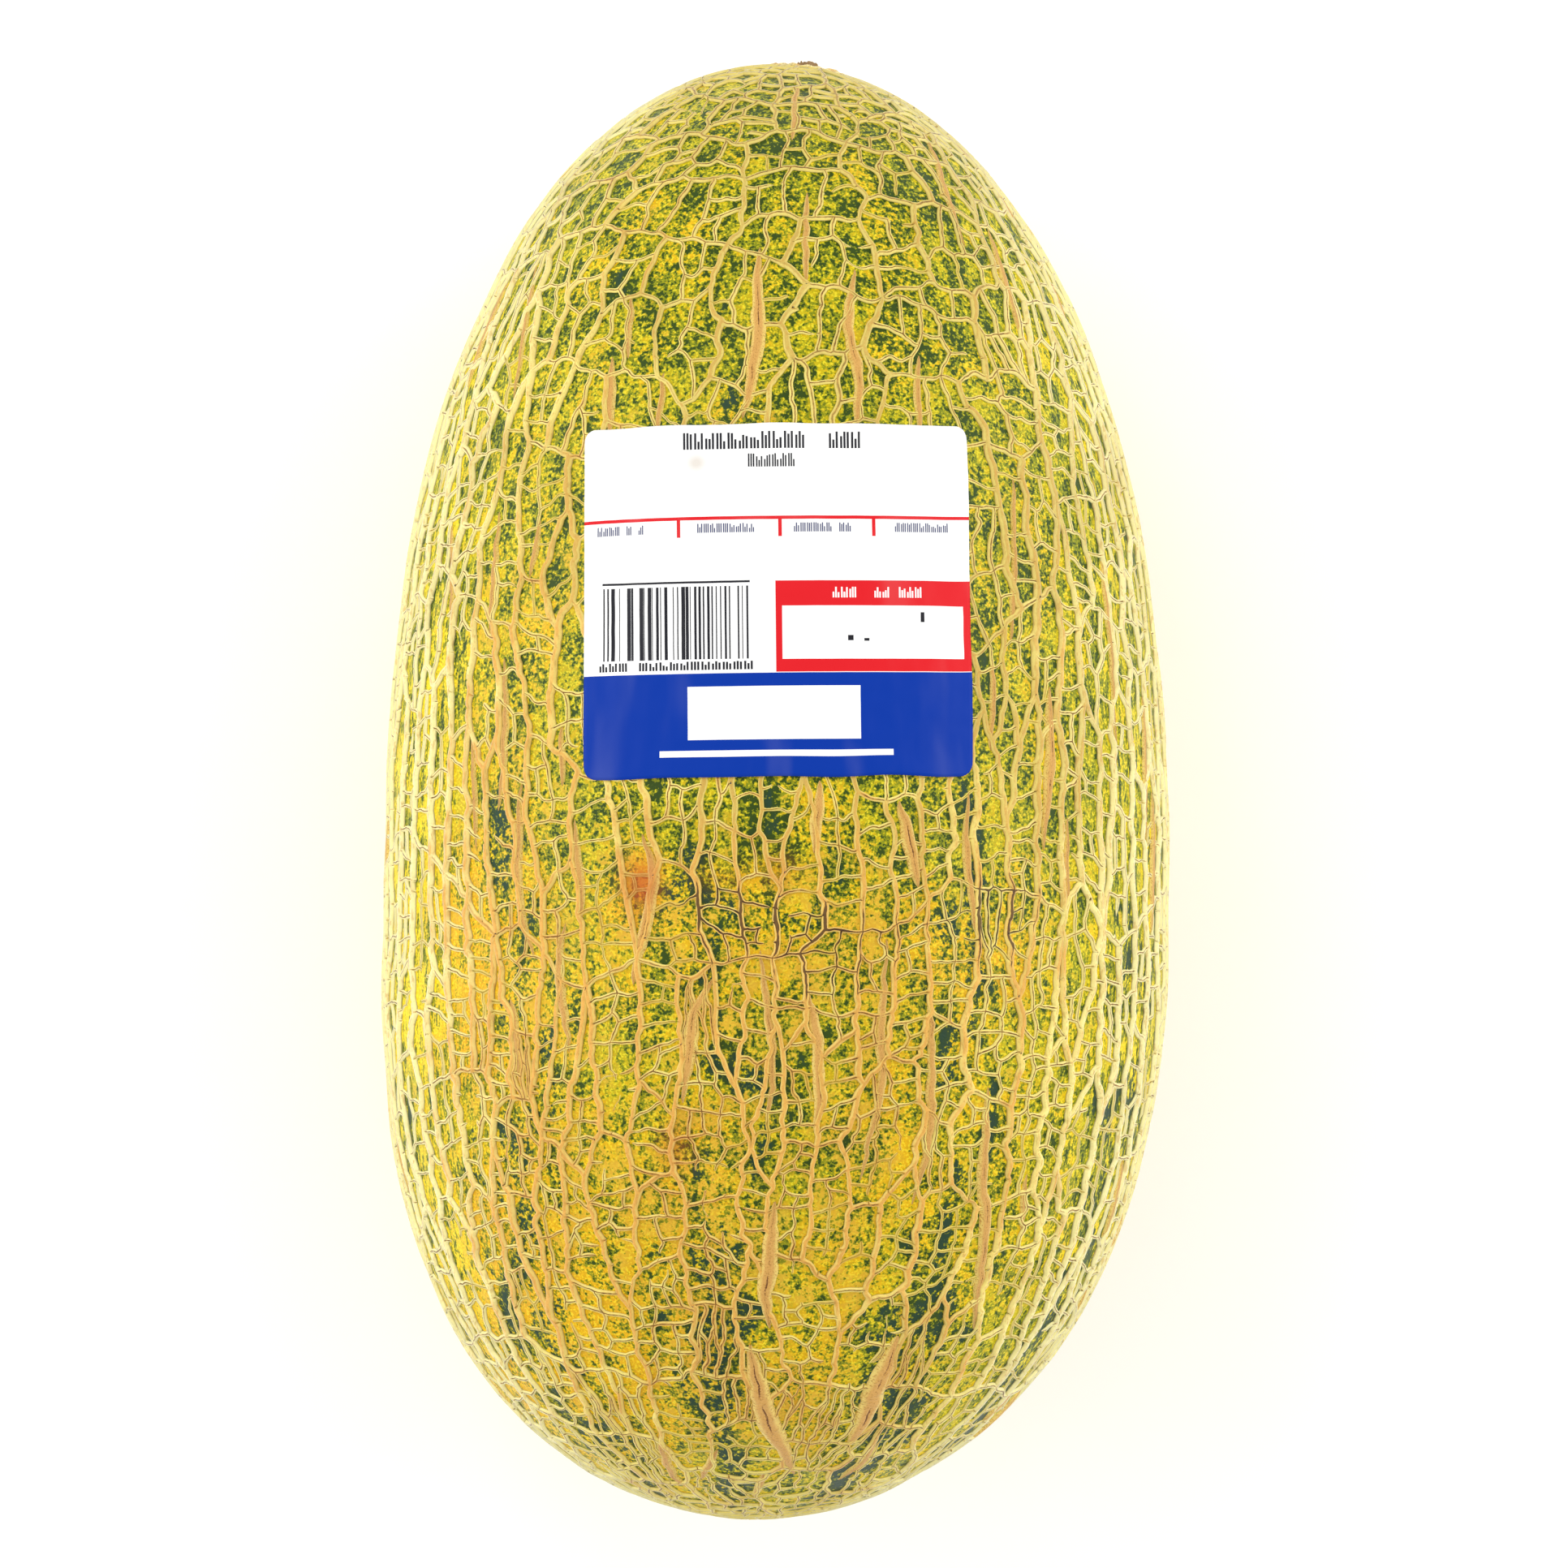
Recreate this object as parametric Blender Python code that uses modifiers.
"""A hami melon lying on its side, with a paper price label stuck on its upper face.

Units are metres. +Z is up, and +Y runs along the melon towards its narrow stem end. The origin lies on the
surface that the melon rests on, under the middle of its box.

The melon grew in one piece, so it is one solid. Its raised net begins as the meridians and rings of a
sphere. The cells between them are cut in two again and again, the largest first, as a ripening rind cracks,
and the cells near the widest part end up longer than they are wide. Every cell is then inset, and the lines
left between the cells are raised. The cells are about twice as large as on the fruit."""

import heapq
import math
import random

import bmesh
import bpy
from mathutils import Matrix, Vector, noise

# Size and form of the melon
LENGTH = 0.250
WIDTH = 0.135
WIDEST_AT = 0.403  # share of the length from the blossom end to the widest place
STEM_BLUNTNESS = 2.55  # exponent of the profile on the stem end's side: 2 is an ellipse, more is squarer
BLOSSOM_BLUNTNESS = 2.45
LEAN = 0.0038  # how far the blossom end stands off to -X
LEAN_CURVE = 1.15  # exponent of the lean: it starts at the widest place and grows towards the end
NOSE_DOWN = math.radians(1.6)  # a melon rolls onto the place below its weight, stem end slightly lower
GROUND_FLAT_DEPTH = 0.0006  # how deep the flat ground spot is cut into the bare rind
GROUND_SHARE = 0.8  # the net near the ground spot reaches this share of the way down to its plane

# Raised net
NET_HEIGHT = 0.0012
NET_HALF_WIDTH = 0.0013
ROOM_USED = 0.68  # a cell is inset by no more than this share of what would make one of its sides vanish
YOUNG_HEIGHT = 0.65  # height of the last lines to crack, as a share of the first ones'
CELLS = 680
SEED = 11
FIRST_MERIDIANS = 9
FIRST_RINGS = 4
FIRST_JITTER = 0.12
SHORTEST_LINE = 0.0042  # a crack doesn't end nearer than this to another one
MOST_STRETCH = 3.2  # length of a cell over its width, round the widest part
CUT_SPREAD = 0.16  # how far off a cell's middle a cut may run, as a share of the cell
CUT_TURN = math.radians(16)  # how far a cut may turn from square
CRACK_TRIES = 6  # a cut whose ends don't fit is drawn again
STRAIGHT_CORNER = math.radians(150)  # a cell's corner wider than this is where a line of the next cell ends
JOIN_BAND = 0.22  # a lengthwise cut runs on from such a corner this near to the cell's middle, in its widths
NARROWEST_CELL = 0.0040  # no lengthwise cut leaves cells narrower than this
SMOOTHING_ROUNDS = 3
SMOOTHING = 0.28
WARP_SIZE = 0.05  # how far the lines wander, in radii of the sphere
WARP_SCALE = 1.9
WARP_SHIFTS = ((0, 0, 0), (17.3, 4.1, 0), (0, 31.7, 8.9))  # where in the noise the wander along x, y and z is read

# Scars at the two ends
STEM_SCAR_RADIUS = 0.0075
BLOSSOM_SCAR_RADIUS = 0.0065
STEM_SHIFT = 0.07  # the stem scar's place towards +X, in radii of the sphere
STEM_MOAT_DEPTH = 0.0009
STEM_STUB_HEIGHT = 0.0024
STEM_STUB_INSET = 0.0022
STEM_STUB_TAPER = 0.0003
BLOSSOM_DIMPLE_DEPTH = 0.0010
BLOSSOM_DIMPLE_INSET = 0.0018

# Price label
LABEL_WIDTH = 0.0645  # round the melon
LABEL_LENGTH = 0.0570  # along the melon
LABEL_CENTRE_X = 0.0002
LABEL_CENTRE_Y = 0.0287
LABEL_TURN = math.radians(0.6)
LABEL_CORNER = 0.0022
LABEL_CORNER_STEPS = 3
LABEL_THICKNESS = 0.0004
LABEL_GAP = 0.0003
LABEL_COLUMNS = 14
LABEL_ROWS = 6
PRESSED_HEIGHT = 0.25  # height of the net under the label, as a share of its full height
PRESSED_MARGIN = 0.003
PRESSED_BLEND = 0.004

GIRTH = WIDTH / 2 - NET_HEIGHT
BARE_LENGTH = LENGTH - 2 * NET_HEIGHT
BLOSSOM_HALF = BARE_LENGTH * WIDEST_AT
STEM_HALF = BARE_LENGTH - BLOSSOM_HALF
MIDDLE_Y = (STEM_HALF - BLOSSOM_HALF) / 2
TILT = Matrix.Rotation(-NOSE_DOWN, 3, "X")


def half_length(along):
    """The melon's length from its widest place to the end on this side."""
    return STEM_HALF if along > 0 else BLOSSOM_HALF


def bluntness(along):
    """The exponent of the profile on this side of the widest place."""
    return STEM_BLUNTNESS if along > 0 else BLOSSOM_BLUNTNESS


def girth_at(along):
    """The bare rind's radius, for a place along the melon from -1, the blossom end, to 1, the stem end."""
    return GIRTH * math.sqrt(max(0.0, 1 - abs(along) ** bluntness(along)))


def lean_at(along):
    """How far the melon's middle line stands off to -X at a place along it."""
    return LEAN * max(0.0, -along) ** LEAN_CURVE


def rind_normal(direction):
    """Which way the bare rind faces where a direction of the unit sphere meets it."""
    along = direction.y
    spread = math.hypot(direction.x, direction.z)
    side = 2 * girth_at(along) / GIRTH**2 / spread if spread > 0 else 0.0
    end = bluntness(along) * abs(along) ** (bluntness(along) - 1) / half_length(along)
    return TILT @ Vector((direction.x * side, math.copysign(end, along), direction.z * side)).normalized()


def rind_point(direction, lift=0.0):
    """Where a direction of the unit sphere meets the bare rind, then moved out by lift.

    The sphere's y becomes the place along the melon, and its x and z turn round the middle line at the
    girth of that place. The whole is then tilted. The middle of the length stays at y = 0."""
    along = direction.y
    spread = math.hypot(direction.x, direction.z)
    side = girth_at(along) / spread if spread > 0 else 0.0
    middle = Vector((-lean_at(along), along * half_length(along) - MIDDLE_Y, 0))
    point = middle + Vector((direction.x * side, 0, direction.z * side))
    return TILT @ point + rind_normal(direction) * lift


def sphere_direction(turn, along):
    """The direction of the unit sphere at a turn from the top towards +X, and a place along the melon."""
    ring = math.sqrt(max(0.0, 1 - along * along))
    return Vector((math.sin(turn) * ring, along, math.cos(turn) * ring))


def unrolled(point):
    """The turn round the melon and the place along it, for a point on the rind or near it."""
    upright = TILT.transposed() @ point
    upright.y += MIDDLE_Y
    along = upright.y / half_length(upright.y)
    return math.atan2(upright.x + lean_at(along), upright.z), along


def lengthwise_at(direction):
    """How strongly the cells run lengthwise: 1 round the widest part, 0 at the ends and up the top's middle."""
    turn = abs(math.atan2(direction.x, direction.z))
    flank = min(max((turn - 0.45) / 0.5, 0.0), 1.0)
    upper = 1 / (1 + math.exp((direction.y - 0.35 - 0.3 * flank) / 0.08))
    lower = 1 / (1 + math.exp((-0.78 - direction.y) / 0.05))
    return upper * lower


def cell_size(cell):
    """A cell's area on the melon, from the fan of triangles round its first corner."""
    corners = [rind_point(vert.co) for vert in cell.verts]
    total = Vector((0, 0, 0))
    for first, second in zip(corners[1:], corners[2:]):
        total += (first - corners[0]).cross(second - corners[0])
    return total.length / 2


def place_on_edge(edge, start, share, joins):
    """A corner for a crack's end on the edge.

    It is the edge's nearer end if that is one of the joins, where another line ends, so that the line runs
    on. Otherwise it is a new corner, or again the nearer end where the edge is short."""
    end = edge.other_vert(start)
    nearest = start if share < 0.5 else end
    if nearest in joins:
        return nearest
    length = (rind_point(start.co) - rind_point(end.co)).length
    if length < 2 * SHORTEST_LINE:
        return nearest
    margin = SHORTEST_LINE / length
    share = min(max(share, margin), 1 - margin)
    new_vert = bmesh.utils.edge_split(edge, start, share)[1]
    new_vert.co.normalize()
    return new_vert


def crack(cell, rng):
    """Cut a cell in two with one line, across its longer side. Return the new cell, or None."""
    corners = [rind_point(vert.co) for vert in cell.verts]
    middle = sum(corners, Vector()) / len(corners)
    centre = sum((vert.co for vert in cell.verts), Vector()).normalized()
    outward = rind_normal(centre)
    around = Vector((0, 1, 0)).cross(outward).normalized()
    onward = outward.cross(around)
    lengths = [(point - middle).dot(onward) for point in corners]
    widths = [(point - middle).dot(around) for point in corners]
    length = max(lengths) - min(lengths)
    width = max(widths) - min(widths)
    lengthwise = lengthwise_at(centre)
    crosswise = length / (1 + (MOST_STRETCH - 1) * lengthwise) > width or width < 2 * NARROWEST_CELL < length
    square_to_cut = onward if crosswise else around
    square_to_cut = Matrix.Rotation(rng.uniform(-CUT_TURN, CUT_TURN), 3, outward) @ square_to_cut
    start = middle + square_to_cut * (length if crosswise else width) * rng.uniform(-CUT_SPREAD, CUT_SPREAD)
    sides = [(point - start).dot(square_to_cut) for point in corners]
    band = 0.0 if crosswise else JOIN_BAND * width * lengthwise
    central = [loop for loop, offset in zip(cell.loops, widths) if abs(offset) < band]
    joins = {loop.vert for loop in central if loop.calc_angle() > STRAIGHT_CORNER}
    crossings = []
    for loop, side, following in zip(cell.loops, sides, sides[1:] + sides[:1]):
        if (side > 0) != (following > 0):
            crossings.append((loop.edge, loop.vert, side / (side - following)))
    if len(crossings) != 2:
        return None
    ends = [place_on_edge(*crossing, joins) for crossing in crossings]
    if ends[0] is ends[1] or any(ends[1] in edge.verts for edge in ends[0].link_edges):
        return None
    return bmesh.utils.face_split(cell, ends[0], ends[1])[0]


def coarse_sphere():
    """A coarse sphere without poles, whose cells and corners come in the same order in every run.

    The sphere's own order changes from run to run, and the cracking depends on it."""
    sphere = bmesh.new()
    to_y = Matrix.Rotation(math.radians(-90), 4, "X")
    bmesh.ops.create_uvsphere(
        sphere, u_segments=FIRST_MERIDIANS, v_segments=FIRST_RINGS, radius=1.0, matrix=to_y
    )
    poles = [vert for vert in sphere.verts if abs(vert.co.y) > 0.99]
    bmesh.ops.delete(sphere, geom=poles, context="VERTS")
    sphere.verts.index_update()
    cells = []
    for cell in sphere.faces:
        numbers = [vert.index for vert in cell.verts]
        first = numbers.index(min(numbers))
        cells.append(numbers[first:] + numbers[:first])
    mesh = bmesh.new()
    corners = [mesh.verts.new(vert.co) for vert in sphere.verts]
    for cell in sorted(cells):
        mesh.faces.new([corners[number] for number in cell])
    sphere.free()
    return mesh


def first_cells(rng):
    """The cells that the cracking starts from: a coarse sphere with a small round scar at each end."""
    mesh = coarse_sphere()
    for vert in mesh.verts:
        wander = Vector((rng.uniform(-1, 1), rng.uniform(-1, 1), rng.uniform(-1, 1)))
        vert.co = (vert.co + FIRST_JITTER * wander).normalized()
    caps = []
    for end, radius in ((1, STEM_SCAR_RADIUS), (-1, BLOSSOM_SCAR_RADIUS)):
        rim = [vert for vert in mesh.verts if vert.is_boundary and vert.co.y * end > 0]
        rim.sort(key=lambda vert: math.atan2(vert.co.x, vert.co.z) * end)
        cap = mesh.faces.new(rim)
        caps.append(cap)
        bmesh.ops.inset_individual(mesh, faces=[cap], thickness=0.2)
        small = radius / (GIRTH * math.sqrt(bluntness(end) / 2))
        for vert in cap.verts:
            ring = Vector((vert.co.x, 0, vert.co.z)).normalized() * small
            vert.co = Vector((ring.x, math.copysign(math.sqrt(1 - small * small), vert.co.y), ring.z))
    return mesh, caps


def cracked_cells(count, rng):
    """Crack the largest cell again and again, until there are as many cells as asked for.

    Return them, the two scars' cells, and for each line how early it came, from 1 for the first to 0."""
    mesh, scars = first_cells(rng)
    born = mesh.edges.layers.float.new("born")
    for edge in mesh.edges:
        edge[born] = 1.0
    mesh.faces.ensure_lookup_table()
    order = 0
    waiting = []
    for cell in mesh.faces:
        if cell not in scars:
            heapq.heappush(waiting, (-cell_size(cell), order, cell))
            order += 1
    begun = len(mesh.faces)
    while waiting and len(mesh.faces) < count:
        cell = heapq.heappop(waiting)[2]
        tries = (crack(cell, rng) for _ in range(CRACK_TRIES))
        new_cell = next((found for found in tries if found), None)
        if new_cell is None:
            continue
        shared = next(edge for edge in cell.edges if edge in new_cell.edges)
        shared[born] = 1 - (len(mesh.faces) - begun) / (count - begun)
        for half in (cell, new_cell):
            heapq.heappush(waiting, (-cell_size(half), order, half))
            order += 1
    return mesh, scars, born


def relax(mesh, held):
    """Draw every corner of the net towards its neighbours, so that square joints turn into forks."""
    for _ in range(SMOOTHING_ROUNDS):
        moved = {}
        for vert in mesh.verts:
            if vert not in held:
                others = [edge.other_vert(vert).co for edge in vert.link_edges]
                mean = sum(others, Vector()) / len(others)
                moved[vert] = vert.co.lerp(mean, SMOOTHING).normalized()
        for vert, place in moved.items():
            vert.co = place


def wandered(direction):
    """The direction after the net's slow wander, and after the stem scar's shift to +X."""
    wander = Vector([noise.noise(direction * WARP_SCALE + Vector(shift)) for shift in WARP_SHIFTS])
    wander *= WARP_SIZE * (1 - abs(direction.y) ** 6)
    shift = Vector((STEM_SHIFT, 0, 0)) * max(0.0, direction.y) ** 6
    return (direction + wander + shift).normalized()


def label_reach(point):
    """How far a point of the rind lies outside the label's outline, or 0 if it is under the label."""
    turn, along = unrolled(point)
    beyond_side = max(0.0, abs(turn) * girth_at(along) - LABEL_WIDTH / 2)
    beyond_end = max(0.0, abs(point.y - LABEL_CENTRE_Y) - LABEL_LENGTH / 2)
    return math.hypot(beyond_side, beyond_end)


def room_in(cell):
    """How far a cell can be inset before one of its sides vanishes."""
    shrink = {loop: 1 / math.tan(loop.calc_angle() / 2) for loop in cell.loops}
    shrink = {loop: amount if loop.is_convex else -amount for loop, amount in shrink.items()}
    rooms = [math.inf]
    for loop in cell.loops:
        both_ends = shrink[loop] + shrink[loop.link_loop_next]
        if both_ends > 0:
            rooms.append(loop.edge.calc_length() / both_ends)
    return min(rooms)


def net_height(point, ground):
    """The net's height over a point of the bare rind, before the age of its lines is counted in.

    It is pressed down under the label, and near the ground it stays above the plane of the ground spot."""
    share = min(max((label_reach(point) - PRESSED_MARGIN) / PRESSED_BLEND, 0.0), 1.0)
    height = NET_HEIGHT * (PRESSED_HEIGHT + (1 - PRESSED_HEIGHT) * share)
    return min(height, max(0.0, point.z - ground) * GROUND_SHARE)


def sink_windows(mesh, windows):
    """Round the floor of every window of the net, so that it lies on the bare rind."""
    poked = bmesh.ops.poke(mesh, faces=windows)
    rounded = {vert for face in poked["faces"] for vert in face.verts}
    for vert in rounded:
        vert.co = rind_point(sphere_direction(*unrolled(vert.co)))


def shape_scars(mesh, stem_scar, blossom_scar):
    """Sink both scars, and raise the broken stub in the middle of the stem's."""
    bmesh.ops.translate(mesh, verts=stem_scar.verts[:], vec=-stem_scar.normal * STEM_MOAT_DEPTH)
    bmesh.ops.inset_individual(mesh, faces=[stem_scar], thickness=STEM_STUB_INSET)
    bmesh.ops.inset_individual(mesh, faces=[stem_scar], thickness=STEM_STUB_TAPER, depth=STEM_STUB_HEIGHT)
    bmesh.ops.inset_individual(
        mesh, faces=[blossom_scar], thickness=BLOSSOM_DIMPLE_INSET, depth=-BLOSSOM_DIMPLE_DEPTH
    )


def ground_height():
    """Height of the ground spot's plane: a little above the lowest line of the bare rind."""
    underside = [Vector((0, step / 500, -1)).normalized() for step in range(-200, 400)]
    return min(rind_point(direction).z for direction in underside) + GROUND_FLAT_DEPTH


def cut_ground_flat(mesh, ground):
    """Cut the melon off at the ground, and close it with one flat face."""
    everything = mesh.verts[:] + mesh.edges[:] + mesh.faces[:]
    cut = bmesh.ops.bisect_plane(
        mesh, geom=everything, dist=1e-7, plane_co=(0, 0, ground), plane_no=(0, 0, -1), clear_outer=True
    )
    rim = [item for item in cut["geom_cut"] if isinstance(item, bmesh.types.BMEdge)]
    bmesh.ops.contextual_create(mesh, geom=rim)


def build_melon():
    """The rind with its raised net and scars, resting on its ground spot."""
    rng = random.Random(SEED)
    ground = ground_height()
    mesh, scars, born = cracked_cells(CELLS, rng)
    held = {vert for scar in scars for vert in scar.verts}
    relax(mesh, held)
    net = []
    for vert in mesh.verts:
        direction = wandered(vert.co)
        age = max(edge[born] for edge in vert.link_edges)
        share = YOUNG_HEIGHT + (1 - YOUNG_HEIGHT) * age
        net.append((vert, direction, share))
        vert.co = rind_point(direction)
    mesh.normal_update()
    windows = [cell for cell in mesh.faces if cell not in scars]
    for cell in mesh.faces[:]:
        half_width = min(NET_HALF_WIDTH, ROOM_USED * room_in(cell))
        bmesh.ops.inset_individual(mesh, faces=[cell], thickness=half_width, use_even_offset=True)
    for vert, direction, share in net:
        vert.co += rind_normal(direction) * share * net_height(vert.co, ground)
    sink_windows(mesh, windows)
    mesh.normal_update()
    shape_scars(mesh, *scars)
    cut_ground_flat(mesh, ground)
    lows = [min(vert.co[axis] for vert in mesh.verts) for axis in (0, 1)]
    highs = [max(vert.co[axis] for vert in mesh.verts) for axis in (0, 1)]
    to_origin = Vector((-(lows[0] + highs[0]) / 2, -(lows[1] + highs[1]) / 2, -ground))
    bmesh.ops.translate(mesh, verts=mesh.verts[:], vec=to_origin)
    return mesh, to_origin


def label_outline(mesh):
    """The label laid flat: a rectangle with rounded corners, cut into a grid of small panes."""
    bmesh.ops.create_grid(mesh, x_segments=1, y_segments=1, size=0.5)
    bmesh.ops.scale(mesh, verts=mesh.verts[:], vec=(LABEL_WIDTH, LABEL_LENGTH, 1))
    bmesh.ops.bevel(
        mesh,
        geom=mesh.verts[:],
        offset=LABEL_CORNER,
        segments=LABEL_CORNER_STEPS,
        profile=0.5,
        affect="VERTICES",
    )
    for axis, count, size in ((0, LABEL_COLUMNS, LABEL_WIDTH), (1, LABEL_ROWS, LABEL_LENGTH)):
        plane_normal = Vector((1, 0, 0)) if axis == 0 else Vector((0, 1, 0))
        for step in range(1, count):
            place = plane_normal * size * (step / count - 0.5)
            everything = mesh.verts[:] + mesh.edges[:] + mesh.faces[:]
            bmesh.ops.bisect_plane(mesh, geom=everything, dist=1e-6, plane_co=place, plane_no=plane_normal)


def build_label(to_origin):
    """The label wrapped round the upper face, clear of the pressed net by the gap."""
    mesh = bmesh.new()
    label_outline(mesh)
    lift = NET_HEIGHT * PRESSED_HEIGHT + LABEL_GAP
    turn = Matrix.Rotation(LABEL_TURN, 3, "Z")
    for vert in mesh.verts:
        flat = turn @ vert.co + Vector((LABEL_CENTRE_X, LABEL_CENTRE_Y + MIDDLE_Y, 0))
        along = flat.y / half_length(flat.y)
        vert.co = rind_point(sphere_direction(flat.x / girth_at(along), along), lift)
    bmesh.ops.translate(mesh, verts=mesh.verts[:], vec=to_origin)
    bmesh.ops.recalc_face_normals(mesh, faces=mesh.faces[:])
    return mesh


def material(name, colour, roughness):
    """A plain material with one colour."""
    surface = bpy.data.materials.new(name)
    surface.use_nodes = True
    shader = surface.node_tree.nodes["Principled BSDF"]
    shader.inputs["Base Color"].default_value = (*colour, 1.0)
    shader.inputs["Roughness"].default_value = roughness
    shader.inputs["Metallic"].default_value = 0.0
    return surface


def add_object(name, mesh, surface, collection):
    """Make an object of a finished bmesh, and free the bmesh."""
    data = bpy.data.meshes.new(name)
    mesh.to_mesh(data)
    mesh.free()
    data.materials.append(surface)
    piece = bpy.data.objects.new(name, data)
    collection.objects.link(piece)
    return piece


def main():
    for old in list(bpy.data.objects):
        bpy.data.objects.remove(old, do_unlink=True)
    collection = bpy.data.collections.new("hami_melon")
    bpy.context.scene.collection.children.link(collection)
    melon_mesh, to_origin = build_melon()
    rind = material("netted_rind", (0.50, 0.42, 0.09), 0.45)
    add_object("melon", melon_mesh, rind, collection)
    paper = material("label_paper", (0.88, 0.88, 0.87), 0.35)
    label = add_object("price_label", build_label(to_origin), paper, collection)
    wall = label.modifiers.new("thickness", "SOLIDIFY")
    wall.thickness = LABEL_THICKNESS
    wall.offset = 1.0
    label.data.shade_smooth()


main()
